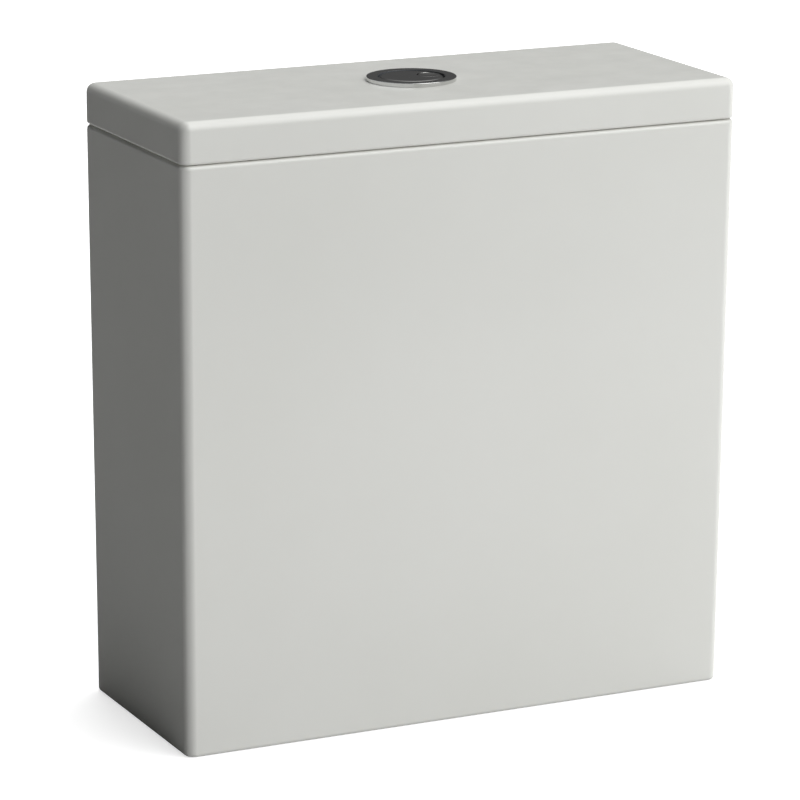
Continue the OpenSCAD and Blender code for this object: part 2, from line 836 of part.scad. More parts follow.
module flush_cylinder() {
    strap_root = 16;
    collar_end = 1;
    seal_collar_z = main_seal_z - collar_end;
    rim_t = 1;
    rim_h = 3;
    color(white_plastic) {
        difference() {
            union() {
                post(cylinder_r, cylinder_z, cylinder_top_z);
                post(seal_collar_r, seal_collar_z, cylinder_z);
            }
            post(cylinder_in_r, cylinder_z + cylinder_floor_t, cylinder_top_z + cut);
            post(port_r, seal_collar_z - cut, cylinder_z + cylinder_floor_t + cut);
        }
        pipe(port_r + core_lip_t, port_r, cylinder_z + cylinder_floor_t, core_lip_z);
        pipe(cylinder_in_r, cylinder_in_r - rim_t, cylinder_top_z - rim_h, cylinder_top_z);
        lifting_strap(cylinder_top_z - strap_root);
    }
}

module main_seal() {
    color(red_rubber) pipe(main_seal_r, seal_collar_r + hold_gap, main_seal_z, cylinder_z);
}

module overflow_core() {
    fins = 4;
    mouth_t = 1.2;
    mouth_h = 4;
    foot_h = 2;
    root = 0.5;
    color(blue_plastic) {
        pipe(core_r, core_in_r, core_seal_z - foot_h, overflow_z);
        pipe(core_flange_r, core_r - root, core_z, core_z + core_flange_t);
        pipe(core_r + mouth_t, core_r - root, overflow_z - mouth_h, overflow_z);
        for (i = [0 : fins - 1]) rotate((i + 0.5) * 360 / fins)
            translate([core_r - tube_wall / 2, -fin_t / 2, core_z])
                cube([cylinder_in_r - 2 * slide_gap - core_r + tube_wall / 2, fin_t, fin_h]);
        rotate(180) {
            translate([core_in_r + root, -rocker_y - strap_w / 2, arm_z])
                cube([strap_x - core_in_r - root, strap_w, arm_h]);
            lifting_strap(arm_z);
        }
    }
}

module core_seal() {
    edge = 0.8;
    color(red_rubber) pipe(core_flange_r + edge, core_r + hold_gap, core_seal_z, core_z);
}

// Fill valve

module fill_valve_body() {
    grip_step = 4;
    grip_r = foot_r - grip_step;
    bore_end = 24;
    color(dark_plastic) at_fill() difference() {
        union() {
            post(inlet_r, inlet_z, inlet_z + inlet_len);
            post(shank_r, inlet_z + inlet_len, foot_z);
            post(foot_r, foot_z, foot_z + foot_t);
            translate([0, 0, foot_z + foot_t]) cylinder(r = grip_r, h = grip_h, $fn = 6);
            post(riser_r, foot_z + foot_t + grip_h, riser_z);
        }
        post(inlet_bore_r, inlet_z - cut, foot_z + bore_end);
    }
}

module inlet_gasket() {
    edge = 1;
    color(black_rubber) at_fill() pipe(foot_r - edge, shank_r + slide_gap, floor_z, foot_z);
}

module inlet_backnut() {
    nut_z = base_recess - inlet_nut_h;
    flange = 2;
    color(white_plastic) at_fill() difference() {
        union() {
            translate([0, 0, nut_z])
                cylinder(d = inlet_nut_af / cos(30), h = inlet_nut_h - flange, $fn = 6);
            post(inlet_nut_af / 2 + flange, base_recess - flange, base_recess);
        }
        post(shank_r + hold_gap, nut_z - cut, base_recess + cut);
    }
}

// Basket strainer, pushed up the inlet tail
module inlet_strainer() {
    wall = 1.2;
    length = 18;
    slots = 6;
    slot_w = 2;
    end_band = 4;
    sunk = 2;
    z0 = inlet_z + sunk;
    basket_r = inlet_bore_r - hold_gap;
    color(white_plastic) at_fill() difference() {
        post(basket_r, z0, z0 + length);
        post(basket_r - wall, z0 - cut, z0 + length - wall);
        for (i = [0 : slots - 1]) rotate(i * 360 / slots)
            translate([0, -slot_w / 2, z0 + end_band])
                cube([basket_r + cut, slot_w, length - 2 * end_band]);
    }
}

module fill_valve_head() {
    rim_w = 4;
    seat_r = head_r - rim_w;
    seat_h = 2;
    neck = 6;
    neck_step = 5;
    nozzle_step = 2;
    spout_drop = 2.6 * spout_r;
    color(dark_plastic) at_fill() {
        difference() {
            union() {
                post(head_r, riser_z + neck, diaphragm_z);
                post(head_r - neck_step, riser_z, riser_z + neck);
            }
            post(seat_r, diaphragm_z - seat_h, diaphragm_z + cut);
        }
        post(spout_r - nozzle_step, diaphragm_z - seat_h, diaphragm_z);
        translate([0, 0, spout_z]) {
            along_y(seat_r, spout_y) circle(r = spout_r);
            translate([0, spout_y, 0]) sphere(r = spout_r);
        }
        translate([0, spout_y, 0]) post(spout_r, spout_z - spout_drop, spout_z);
    }
}

module diaphragm() {
    edge = 0.6;
    color(black_rubber) at_fill() post(head_r - edge, diaphragm_z, head_cap_z);
}

module head_cap() {
    ears_y = lever_w / 2 + slide_gap;
    ear_over = 1;
    ear_w = 2 * lever_hub_r + ear_over;
    top_edge = 1.5;
    pilot_r = 3;
    pilot_h = 2;
    grips = 16;
    grip_w = 3;
    grip_root = 2;
    grip_over = 1;
    color(white_plastic) at_fill() {
        soft_disc(head_r, head_cap_z, head_top_z, top_edge);
        for (i = [0 : grips - 1]) rotate((i + 0.5) * 360 / grips)
            translate([head_r - grip_root, -grip_w / 2, head_cap_z])
                cube([grip_root + grip_over, grip_w, head_cap_h - 2 * top_edge]);
        translate([-lever_hub_r - 2 * pilot_r, 0, 0]) post(pilot_r, head_top_z - cut, head_top_z + pilot_h);
        for (y = [-ears_y - lever_ear_t, ears_y]) along_y(y, y + lever_ear_t) difference() {
            union() {
                translate([0, lever_z]) circle(r = lever_hub_r);
                translate([-ear_w / 2, head_top_z - cut]) square([ear_w, lever_h + cut - lever_hub_r / 2]);
            }
            translate([0, lever_z]) circle(r = lever_pin_r + run_gap / 2);
        }
    }
}

module lever_pin() {
    head = 1.2;
    end_y = lever_w / 2 + slide_gap + lever_ear_t;
    color(steel) at_fill() {
        along_y(-end_y - head, end_y + head) translate([0, lever_z]) circle(r = lever_pin_r);
        along_y(end_y, end_y + head) translate([0, lever_z]) circle(r = lever_pin_r + head);
    }
}

// Lever that hangs by its tilt in a dry tank, with a slot for the link at its long end
module float_lever() {
    tail_over = 8;
    tail_l = lever_hub_r + tail_over;
    eye_wall = 3.4;
    eye_r = link_r + eye_wall;
    slot_half = link_slack + slide_gap;
    color(grey_plastic) at_fill() translate([0, 0, lever_z]) rotate([0, lever_tilt, 0]) difference() {
        union() {
            along_y(-lever_w / 2, lever_w / 2) {
                circle(r = lever_hub_r);
                translate([-tail_l, -lever_t / 2]) square([tail_l + link_x - eye_r / 2, lever_t]);
            }
            translate([0, 0, -lever_t / 2]) linear_extrude(lever_t) {
                for (side = [-1, 1]) translate([link_x + side * slot_half, 0]) circle(r = eye_r);
                translate([link_x - slot_half, -eye_r]) square([2 * slot_half, 2 * eye_r]);
            }
        }
        along_y(-lever_w, lever_w) circle(r = lever_pin_r + run_gap);
        translate([0, 0, -lever_t / 2 - cut]) linear_extrude(lever_t + 2 * cut) {
            for (side = [-1, 1]) translate([link_x + side * slot_half, 0]) circle(r = link_r + slide_gap);
            translate([link_x - slot_half, -link_r - slide_gap])
                square([2 * slot_half, 2 * (link_r + slide_gap)]);
        }
    }
}

// Float cup: two walls and a roof that trap air, open below, with an ear for the link
module float_cup() {
    in_r = riser_r + 2 * slide_gap;
    ear_w = 10;
    color(blue_plastic) at_fill() {
        pipe(float_r, float_r - float_wall, float_z, float_top_z);
        pipe(in_r + float_wall, in_r, float_z, float_top_z);
        pipe(float_r - float_wall / 2, in_r + float_wall / 2, float_top_z - float_wall, float_top_z);
        translate([0, 0, ear_z]) linear_extrude(ear_t) difference() {
            union() {
                translate([link_x, 0]) circle(d = ear_w);
                translate([float_r - float_wall / 2, -ear_w / 2])
                    square([link_x - float_r + float_wall / 2, ear_w]);
            }
            translate([link_x, 0]) circle(r = link_r + hold_gap);
        }
    }
}

module float_link() {
    foot = 10;
    color(white_plastic) at_fill() translate([link_x, 0, 0]) {
        post(link_r, ear_z - foot, link_joint_z + link_stop_gap + link_stop_t);
        for (z = [link_joint_z + link_stop_gap, link_joint_z - link_stop_gap - link_stop_t])
            post(link_stop_r, z, z + link_stop_t);
    }
}

// Spring clip that sets the float's height on its link
module link_clip() {
    clip_w = 9;
    clip_r = 2;
    color(dark_plastic) at_fill() translate([link_x, 0, 0]) difference() {
        plate([-clip_w / 2, clip_w / 2, -clip_w / 2, clip_w / 2], clip_r, float_top_z, float_top_z + clip_h);
        post(link_r + hold_gap, float_top_z - cut, float_top_z + clip_h + cut);
    }
}

module discharge_tube() {
    color(white_plastic) at_fill() translate([0, spout_y, 0])
        pipe(spout_r + hold_gap + discharge_wall, spout_r + hold_gap,
            floor_z + discharge_end_h, spout_z - spout_r);
}

tank();
lid();
button_bezel();
ring_nut();
lid_washer();
full_button();
half_button();
full_push_rod();
half_push_rod();
full_spring();
half_spring();
valve_seat();
seat_gasket();
outlet_backnut();
valve_basket();
tower_collar();
valve_tower();
rocker_head();
rocker_pin();
full_rocker();
half_rocker();
flush_cylinder();
main_seal();
overflow_core();
core_seal();
fill_valve_body();
inlet_gasket();
inlet_backnut();
inlet_strainer();
fill_valve_head();
diaphragm();
head_cap();
lever_pin();
float_lever();
float_cup();
float_link();
link_clip();
discharge_tube();
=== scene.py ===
"""Looks of a close-coupled toilet cistern: glazed ceramic, a chromed dual button and the valves inside."""
import json
import math

import bmesh
import bpy
from mathutils import Matrix, Vector


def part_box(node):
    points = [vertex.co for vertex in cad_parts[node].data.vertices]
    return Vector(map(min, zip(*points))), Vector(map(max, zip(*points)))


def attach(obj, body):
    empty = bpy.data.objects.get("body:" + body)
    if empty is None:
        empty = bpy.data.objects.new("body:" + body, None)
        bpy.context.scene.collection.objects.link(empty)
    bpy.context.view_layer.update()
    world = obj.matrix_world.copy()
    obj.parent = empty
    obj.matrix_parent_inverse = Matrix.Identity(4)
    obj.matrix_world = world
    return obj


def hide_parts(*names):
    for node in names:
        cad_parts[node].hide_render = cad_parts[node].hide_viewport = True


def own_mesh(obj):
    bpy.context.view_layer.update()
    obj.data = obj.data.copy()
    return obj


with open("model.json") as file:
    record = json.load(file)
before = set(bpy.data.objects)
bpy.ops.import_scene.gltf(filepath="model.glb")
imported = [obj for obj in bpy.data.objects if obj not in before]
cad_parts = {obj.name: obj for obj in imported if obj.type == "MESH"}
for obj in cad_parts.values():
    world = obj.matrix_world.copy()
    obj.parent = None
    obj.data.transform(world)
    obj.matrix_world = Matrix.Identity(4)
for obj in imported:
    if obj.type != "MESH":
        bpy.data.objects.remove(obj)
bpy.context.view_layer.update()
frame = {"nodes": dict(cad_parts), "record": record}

scene = bpy.context.scene
MM = 0.001
NODES = frame["nodes"]
SLOT_OF = {row["node"]: row["material_slot"] for row in frame["record"]["subparts"]}
BODY_OF = {node: body for body, nodes in frame["record"]["behaviour"]["bodies"].items() for node in nodes}

# Smoothness and tolerances of the made meshes
CORNER_STEPS = 14
EDGE_STEPS = 10
TURN_STEPS = 160
DRILL_STEPS = 96
DISH_STEPS = 8
WIRE_STEPS = 48
WIRE_SIDES = 14
THREAD_STEPS = 64
THREAD_SIDES = 4
EASE_STEPS = 3
FINE_EASE_STEPS = 2
EASE_LIMIT = math.radians(38)
FLAT_LIMIT = math.radians(0.4)
MERGE = 2e-6
DOWNWARD = -0.99
LEVEL_SLACK = 0.1 * MM
SHANK_SLACK = 0.05 * MM

# Ceramic sizes, in metres
TANK_LOW, TANK_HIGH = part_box("tank")
LID_LOW, LID_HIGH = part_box("lid")
SEAM_Z = TANK_HIGH.z
SIDE_LEAN = 2 * MM
FRONT_LEAN = 5 * MM
WALL = 10 * MM
CORNER_R = 6.5 * MM
LEAST_CORNER_R = 0.4 * MM
MIDDLE_INSET = 40 * MM
RIM_ROUND = 3 * MM
RIM_INNER_ROUND = 2.5 * MM
RIM_LAND = 5 * MM
RIM_SLIT = 0.7 * MM
BASE_ROUND = 2.5 * MM
FLOOR_Z = 42 * MM
CAVITY_R = 18 * MM
CAVITY_FLOOR_ROUND = 12 * MM
RECESS_Z = 30 * MM
RECESS_R = 10 * MM
RECESS_ROUND = 5 * MM
RECESS_DRAFT = 1.5 * MM
OUTLET_HOLE_R = 31 * MM
INLET_HOLE_R = 13.075 * MM
BOLT_HOLE_R = 6 * MM
BOLT_X = 80 * MM
FILL_X = -125 * MM
HOLE_EASE = 0.8 * MM
LID_UNDER_Z = 388 * MM
LID_TOP_ROUND = 6 * MM
LID_BOTTOM_ROUND = 2 * MM
LIP_INSET = 12.5 * MM
LIP_T = 6 * MM
LIP_R = 15.5 * MM
LIP_ROUND = 2.4 * MM
LIP_ROOT_ROUND = 1.2 * MM
HOLLOW_ROUND = 4 * MM
SLEEVE_HOLE_R = 24.2 * MM

# Button sizes, in metres
BEZEL_R = 28.5 * MM
BEZEL_Z = 402.6 * MM
BEZEL_EDGE = 0.35 * MM
BEZEL_FOOT_EDGE = 0.15 * MM
BEZEL_EASE = 0.2 * MM
BORE_R = 21.4 * MM
BORE_EDGE = 0.08 * MM
SLEEVE_R = 23.2 * MM
SLEEVE_EDGE = 0.4 * MM
SLEEVE_ROOT_EDGE = 0.2 * MM
SLEEVE_Z = 375 * MM
SLEEVE_FLOOR_Z = 383.9 * MM
SLEEVE_FLOOR_T = 3 * MM
ROD_X = 12.5 * MM
CAP_Z = 402.5 * MM
CAP_UNDER_Z = 398.9 * MM
CAP_EDGE = 0.9 * MM
FULL_EDGE = 2.6 * MM
FULL_EASE = 0.35 * MM
FULL_R = 20.9 * MM
SKIRT_H = 5 * MM
SKIRT_T = 1.4 * MM
SKIRT_EDGE = 0.3 * MM
SKIRT_ROOT_EDGE = 0.4 * MM
HALF_R = 7.5 * MM
HALF_EASE = 0.2 * MM
HALF_UNDER_EDGE = 0.3 * MM
HALF_HOLE_R = 7.9 * MM
DISH_DEPTH = 0.7 * MM
FULL_STEM_R = 4.2 * MM
HALF_STEM_R = 3.8 * MM
GUIDE_GAP = 0.4 * MM
GUIDE_WALL = 1.6 * MM
STEM_Z = 365.1 * MM
STEM_EDGE = 0.3 * MM
COLLAR_Z = 373.1 * MM
COLLAR_T = 1.6 * MM
COLLAR_OVER = 1.2 * MM
ROD_HOLE_R = 2.9 * MM
ROD_HOLD = 20 * MM
SPRING_LENGTH = 15 * MM
SPRING_SEAT = 0.1 * MM
SPRING_TURNS = 5.5
FULL_WIRE = 1.1 * MM
HALF_WIRE = 0.9 * MM

# Sizes of threads and notches, in metres
INLET_R = 10.475 * MM
INLET_ROOT_R = 9.6 * MM
NOTCH_R = 2.35 * MM
NOTCH_T = 1.2 * MM
NOTCH_Z = 216 * MM
NOTCH_PITCH = 3 * MM
NOTCHES = 17

# Each thread's name and node, the place of its axis, and its crest, low end, high end, pitch and tooth
THREADS = (
    ("outlet_thread", "valve_seat", 0.0, 29.5 * MM, 15.2 * MM, 29 * MM, 3 * MM, 2 * MM),
    ("inlet_thread", "fill_valve_body", FILL_X, INLET_R, 4.9 * MM, 16 * MM, 1.814 * MM, 1.5 * MM),
    ("shank_thread", "fill_valve_body", FILL_X, 11.4 * MM, 17.9 * MM, 22 * MM, 1.8 * MM, 1.3 * MM),
    ("sleeve_thread", "button_bezel", 0.0, SLEEVE_R + 0.4 * MM, SLEEVE_Z + MM, 385 * MM, 2 * MM, 1.5 * MM),
    ("full_push_rod_thread", "full_push_rod", -ROD_X, 3.15 * MM, 305 * MM, 364 * MM, 2.4 * MM, 1.3 * MM),
    ("half_push_rod_thread", "half_push_rod", ROD_X, 3.15 * MM, 305 * MM, 364 * MM, 2.4 * MM, 1.3 * MM),
)

# Width of the eased edges, in millimetres, and the pieces whose short edges would hold it back
EDGES = {
    "ring_nut": 0.6, "lid_washer": 0.5, "full_push_rod": 0.3, "half_push_rod": 0.3,
    "valve_seat": 0.25, "seat_gasket": 0.7, "outlet_backnut": 0.35, "valve_basket": 0.5,
    "tower_collar": 0.5, "valve_tower": 0.5, "rocker_head": 0.5, "rocker_pin": 0.35,
    "full_rocker": 0.15, "half_rocker": 0.15, "flush_cylinder": 0.5, "main_seal": 0.7,
    "overflow_core": 0.25, "core_seal": 0.6, "fill_valve_body": 0.5, "inlet_gasket": 0.6,
    "inlet_backnut": 0.7, "inlet_strainer": 0.25, "fill_valve_head": 0.6, "diaphragm": 0.4,
    "head_cap": 0, "lever_pin": 0.35, "float_lever": 0.6, "float_cup": 0.5,
    "float_link": 0.4, "link_clip": 0.5, "discharge_tube": 0.5,
}
FREE_EDGES = ("valve_seat", "full_rocker", "half_rocker", "overflow_core", "inlet_strainer")

# Floor and cards, in metres: two cards lie on the floor and one stands at the left
FLOOR_REACH = 30.0
FLOOR_DROP = 0.1 * MM
FLOOR_PAINT = (0.8, 0.8, 0.8, 1)
FLOOR_DULL = (0.48, 0.48, 0.48, 1)
FLOOR_GLOW = 0.65
FLAG_LIFT = 1 * MM
LEFT_FLAG = [(-9.0, -0.072), (-0.186, -0.072), (-0.186, 0.09), (-1.0, 8.0), (-9.0, 8.0)]
FRONT_FLAG = [(-0.8, -4.0), (3.0, -4.0), (3.0, -0.95), (-0.8, -0.95)]
LEFT_BOARD = [(-6.0, 0.6), (4.0, 0.6), (4.0, 3.5), (-6.0, 3.5)]
LEFT_BOARD_X = -2.0

# Light of the sky by height, and its share from left to right
SKY_LEVELS = ((0.0, 0.07), (0.28, 0.095), (0.5, 0.16), (0.8, 0.8), (1.0, 1.0))
SKY_LEFT, SKY_RIGHT = -0.12, 0.3
SKY_LEFT_SHARE, SKY_RIGHT_SHARE = 0.03, 1.0

# Camera, in metres and radians, and the place that the lamps face
CAMERA_PLACE = Vector((-1.134, -2.3612, 0.857))
CAMERA_YAW = math.radians(25.507)
CAMERA_PITCH = math.radians(14.245)
CAMERA_ROLL = math.radians(0.137)
CAMERA_VIEW = math.radians(10.849)
CAMERA_REACH = 100.0
MIDDLE = Vector((0, 0, 0.2))


# Shader groups

def shader_group(name, inputs, outputs):
    """An empty shader node group with its sockets: name, kind and, for an input, its starting value."""
    group = bpy.data.node_groups.new(name, "ShaderNodeTree")
    for label, kind, value in inputs:
        group.interface.new_socket(label, in_out="INPUT", socket_type=kind).default_value = value
    for label, kind in outputs:
        group.interface.new_socket(label, in_out="OUTPUT", socket_type=kind)
    return group


def add(tree, kind, settings=None, **sockets):
    """A node with its settings and socket values. A value that is another node's output is linked."""
    node = tree.nodes.new(kind)
    for key, value in (settings or {}).items():
        setattr(node, key, value)
    for label, value in sockets.items():
        socket = node.inputs[int(label[1:])] if label[0] == "_" else node.inputs[label.replace("_", " ")]
        if isinstance(value, bpy.types.NodeSocket):
            tree.links.new(value, socket)
        else:
            socket.default_value = value
    return node


def noise(tree, where, scale, detail=2.0, roughness=0.5):
    """Factor of a noise texture on the given coordinates."""
    made = add(tree, "ShaderNodeTexNoise", Vector=where, Scale=scale, Detail=detail, Roughness=roughness)
    return made.outputs[0]


def spread(tree, value, low, high, to_low, to_high):
    """Value moved from one range to another."""
    return add(tree, "ShaderNodeMapRange", _0=value, _1=low, _2=high, _3=to_low, _4=to_high).outputs[0]


def blended(tree, share, first, second):
    """Colour between two, by a share."""
    made = add(tree, "ShaderNodeMix", {"data_type": "RGBA"}, _0=share, _6=first, _7=second)
    return made.outputs[2]


def total(tree, first, second):
    """Sum of two values."""
    return add(tree, "ShaderNodeMath", {"operation": "ADD"}, _0=first, _1=second).outputs[0]


def skin_group(name, cloud_scale, cloud_range, mottle_scale, ripple_scale, grain_scale, grain_share,
               stretch=(1, 1, 1)):
    """Group for one kind of surface: cloudy tint, uneven gloss, long ripples and fine grain."""
    white = (1.0, 1.0, 1.0, 1.0)
    group = shader_group(name, [
        ("Tint", "NodeSocketColor", white), ("Shade", "NodeSocketColor", white),
        ("Smooth", "NodeSocketFloat", 0.1), ("Dull", "NodeSocketFloat", 0.2),
    ], [
        ("Color", "NodeSocketColor"), ("Roughness", "NodeSocketFloat"), ("Height", "NodeSocketFloat"),
    ])
    inside = group.nodes.new("NodeGroupInput")
    place = add(group, "ShaderNodeTexCoord").outputs["Object"]
    grain_place = add(group, "ShaderNodeMapping", Vector=place, Scale=stretch).outputs[0]
    cloud = spread(group, noise(group, place, cloud_scale, 3.0), *cloud_range, 0.0, 1.0)
    mottle = noise(group, place, mottle_scale, 3.0, 0.6)
    gloss = add(group, "ShaderNodeMapRange", _0=mottle, _1=0.3, _2=0.7)
    group.links.new(inside.outputs["Smooth"], gloss.inputs[3])
    group.links.new(inside.outputs["Dull"], gloss.inputs[4])
    grain = noise(group, grain_place, grain_scale, 1.0)
    fine = spread(group, grain, 0.0, 1.0, 0.0, grain_share)
    height = total(group, noise(group, place, ripple_scale, 1.0), fine)
    colour = blended(group, cloud, inside.outputs["Tint"], inside.outputs["Shade"])
    outside = group.nodes.new("NodeGroupOutput")
    group.links.new(colour, outside.inputs["Color"])
    group.links.new(gloss.outputs[0], outside.inputs["Roughness"])
    group.links.new(height, outside.inputs["Height"])
    return group


GLAZE_SKIN = skin_group("glaze_skin", 6.0, (0.35, 0.7), 40.0, 26.0, 900.0, 0.01)
MOULDED_SKIN = skin_group("moulded_skin", 30.0, (0.35, 0.7), 140.0, 90.0, 3200.0, 0.25)
METAL_SKIN = skin_group("metal_skin", 60.0, (0.3, 0.7), 220.0, 40.0, 300.0, 0.05, (1, 1, 0.2))
RUBBER_SKIN = skin_group("rubber_skin", 45.0, (0.4, 0.65), 300.0, 160.0, 1800.0, 0.6)


def finish(name, skin, tint, shade, gloss, bump, depth, **constants):
    """Material that wears a skin group; constants go on the shader's own sockets."""
    material = bpy.data.materials.new(name)
    material.use_nodes = True
    tree = material.node_tree
    shader = tree.nodes["Principled BSDF"]
    wear = add(tree, "ShaderNodeGroup", {"node_tree": skin}, Tint=(*tint, 1), Shade=(*shade, 1),
               Smooth=gloss[0], Dull=gloss[1])
    relief = add(tree, "ShaderNodeBump", Strength=bump, Distance=depth, Height=wear.outputs["Height"])
    tree.links.new(wear.outputs["Color"], shader.inputs["Base Color"])
    tree.links.new(wear.outputs["Roughness"], shader.inputs["Roughness"])
    tree.links.new(relief.outputs["Normal"], shader.inputs["Normal"])
    for label, value in constants.items():
        shader.inputs[label.replace("_", " ")].default_value = value
    return material


FINISH = {
    "glaze": finish("glaze", GLAZE_SKIN, (0.785, 0.79, 0.755), (0.765, 0.77, 0.732), (0.2, 0.26),
                    0.12, 0.2 * MM),
    "bezel_chrome": finish("bezel_chrome", METAL_SKIN, (0.68, 0.68, 0.67), (0.64, 0.64, 0.63), (0.07, 0.11),
                           0.05, 0.05 * MM, Metallic=1.0),
    "button_chrome": finish("button_chrome", METAL_SKIN, (0.64, 0.64, 0.63), (0.6, 0.6, 0.59), (0.07, 0.11),
                            0.05, 0.05 * MM, Metallic=1.0),
    "spring_steel": finish("spring_steel", METAL_SKIN, (0.62, 0.63, 0.64), (0.48, 0.49, 0.5), (0.28, 0.38),
                           0.2, 0.05 * MM, Metallic=1.0),
    "pin_steel": finish("pin_steel", METAL_SKIN, (0.62, 0.63, 0.64), (0.5, 0.51, 0.52), (0.28, 0.34),
                        0.2, 0.05 * MM, Metallic=1.0),
    "white_plastic": finish("white_plastic", MOULDED_SKIN, (0.8, 0.8, 0.77), (0.75, 0.75, 0.71),
                            (0.28, 0.4), 0.2, 0.1 * MM),
    "grey_plastic": finish("grey_plastic", MOULDED_SKIN, (0.46, 0.48, 0.5), (0.4, 0.42, 0.44), (0.36, 0.5),
                           0.25, 0.1 * MM),
    "dark_plastic": finish("dark_plastic", MOULDED_SKIN, (0.075, 0.08, 0.088), (0.055, 0.06, 0.066),
                           (0.34, 0.5), 0.25, 0.1 * MM),
    "blue_plastic": finish("blue_plastic", MOULDED_SKIN, (0.07, 0.2, 0.47), (0.055, 0.165, 0.4),
                           (0.28, 0.38), 0.2, 0.1 * MM),
    "green_plastic": finish("green_plastic", MOULDED_SKIN, (0.09, 0.35, 0.14), (0.075, 0.29, 0.12),
                            (0.28, 0.38), 0.2, 0.1 * MM),
    "seal_rubber": finish("seal_rubber", RUBBER_SKIN, (0.4, 0.06, 0.045), (0.33, 0.06, 0.05), (0.55, 0.72),
                          0.3, 0.1 * MM),
    "black_rubber": finish("black_rubber", RUBBER_SKIN, (0.025, 0.025, 0.026), (0.04, 0.04, 0.04),
                           (0.55, 0.75), 0.3, 0.1 * MM),
}
BISQUE = finish("bisque", RUBBER_SKIN, (0.74, 0.7, 0.62), (0.66, 0.62, 0.55), (0.75, 0.92), 0.5, 0.15 * MM)


# Mesh making

def object_of(bm, name):
    """Object made from a bmesh, with its faces turned outwards and shaded smooth."""
    bmesh.ops.recalc_face_normals(bm, faces=bm.faces)
    mesh = bpy.data.meshes.new(name)
    bm.to_mesh(mesh)
    bm.free()
    mesh.shade_smooth()
    piece = bpy.data.objects.new(name, mesh)
    scene.collection.objects.link(piece)
    return piece


def softened(path, closed):
    """Points of a path of (across, up, rounding) corners, with arcs, each with its corner's number."""
    points = []
    for number, (across, up, rounding) in enumerate(path):
        corner = Vector((across, up))
        at_end = not closed and number in (0, len(path) - 1)
        if rounding == 0 or at_end:
            points.append((across, up, number))
            continue
        before = (Vector(path[number - 1][:2]) - corner).normalized()
        after = (Vector(path[(number + 1) % len(path)][:2]) - corner).normalized()
        half = before.angle(after) / 2
        middle = corner + (before + after).normalized() * rounding / math.sin(half)
        start = corner + before * rounding / math.tan(half) - middle
        end = corner + after * rounding / math.tan(half) - middle
        sweep = math.pi - 2 * half
        for step in range(EDGE_STEPS + 1):
            turn = sweep * step / EDGE_STEPS
            spoke = (start * math.sin(sweep - turn) + end * math.sin(turn)) / math.sin(sweep)
            points.append((middle.x + spoke.x, middle.y + spoke.y, number))
    return points


def bridged(bm, low, high):
    """Faces between two rings, of which one may be a vertex on the axis. A flat disc is one face."""
    if len(low) == 1 and len(high) == 1:
        return
    count = max(len(low), len(high))
    if 1 in (len(low), len(high)) and abs(low[0].co.z - high[0].co.z) < MERGE:
        bm.faces.new(low if len(high) == 1 else high)
        return
    for here in range(count):
        there = (here + 1) % count
        if len(low) == 1:
            bm.faces.new((low[0], high[there], high[here]))
        elif len(high) == 1:
            bm.faces.new((low[here], low[there], high[0]))
        else:
            bm.faces.new((low[here], low[there], high[there], high[here]))


def turned(name, section, x=0.0, y=0.0, steps=TURN_STEPS):
    """Solid turned about an upright axis from a half section of (radius, height, rounding) corners."""
    bm = bmesh.new()
    rings = []
    angles = [2 * math.pi * (step + 0.5) / steps for step in range(steps)]
    spokes = [(math.cos(angle), math.sin(angle)) for angle in angles]
    for radius, z, _ in softened(section, True):
        if radius == 0:
            rings.append([bm.verts.new((x, y, z))])
        else:
            rings.append([bm.verts.new((x + radius * c, y + radius * s, z)) for c, s in spokes])
    for low, high in zip(rings, rings[1:] + rings[:1]):
        bridged(bm, low, high)
    bmesh.ops.delete(bm, geom=[vert for vert in bm.verts if not vert.link_faces], context="VERTS")
    return object_of(bm, name)


def drill(radius, low, high, x=0.0, y=0.0):
    """Plain round tool for cutting holes or adding bosses."""
    section = [(0, low, 0), (radius, low, 0), (radius, high, 0), (0, high, 0)]
    return turned("tool", section, x, y, DRILL_STEPS)


def worked(piece, tools, operation):
    """The piece once the tools are taken from it or joined to it."""
    for tool in tools:
        step = piece.modifiers.new("work", "BOOLEAN")
        step.operation = operation
        step.solver = "EXACT"
        step.object = tool
    shape = piece.evaluated_get(bpy.context.evaluated_depsgraph_get())
    made = bpy.data.meshes.new_from_object(shape)
    piece.modifiers.clear()
    piece.data = made
    bm = bmesh.new()
    bm.from_mesh(made)
    bmesh.ops.remove_doubles(bm, verts=bm.verts, dist=MERGE)
    bmesh.ops.dissolve_degenerate(bm, edges=bm.edges, dist=MERGE)
    bm.to_mesh(made)
    bm.free()
    for tool in tools:
        bpy.data.objects.remove(tool)
    return piece


def eased(piece, width, steps=EASE_STEPS, clamp=True):
    """Rounds sharp edges and keeps flat faces flat in the light."""
    bevel = piece.modifiers.new("eased_edges", "BEVEL")
    bevel.width = width
    bevel.segments = steps
    bevel.limit_method = "ANGLE"
    bevel.angle_limit = EASE_LIMIT
    bevel.use_clamp_overlap = clamp
    normals = piece.modifiers.new("even_normals", "WEIGHTED_NORMAL")
    normals.weight = 50
    normals.keep_sharp = False
    return piece


def placed(piece, node, stands_for=True):
    """Gives a piece the finish and body of a node, and says whether it stands for it."""
    if not piece.data.materials:
        piece.data.materials.append(FINISH[SLOT_OF[node]])
    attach(piece, BODY_OF[node])
    if stands_for:
        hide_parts(node)
    return piece


# Ceramic shells

def ring(bounds, radius, z):
    """Points round a rectangle with round corners."""
    left, right, front, back = bounds
    radius = max(radius, LEAST_CORNER_R)
    centres = [(right - radius, back - radius), (left + radius, back - radius),
               (left + radius, front + radius), (right - radius, front + radius)]
    points = []
    for quarter, (x, y) in enumerate(centres):
        for step in range(CORNER_STEPS + 1):
            angle = (quarter + step / CORNER_STEPS) * math.pi / 2
            points.append((x + radius * math.cos(angle), y + radius * math.sin(angle), z))
    return points


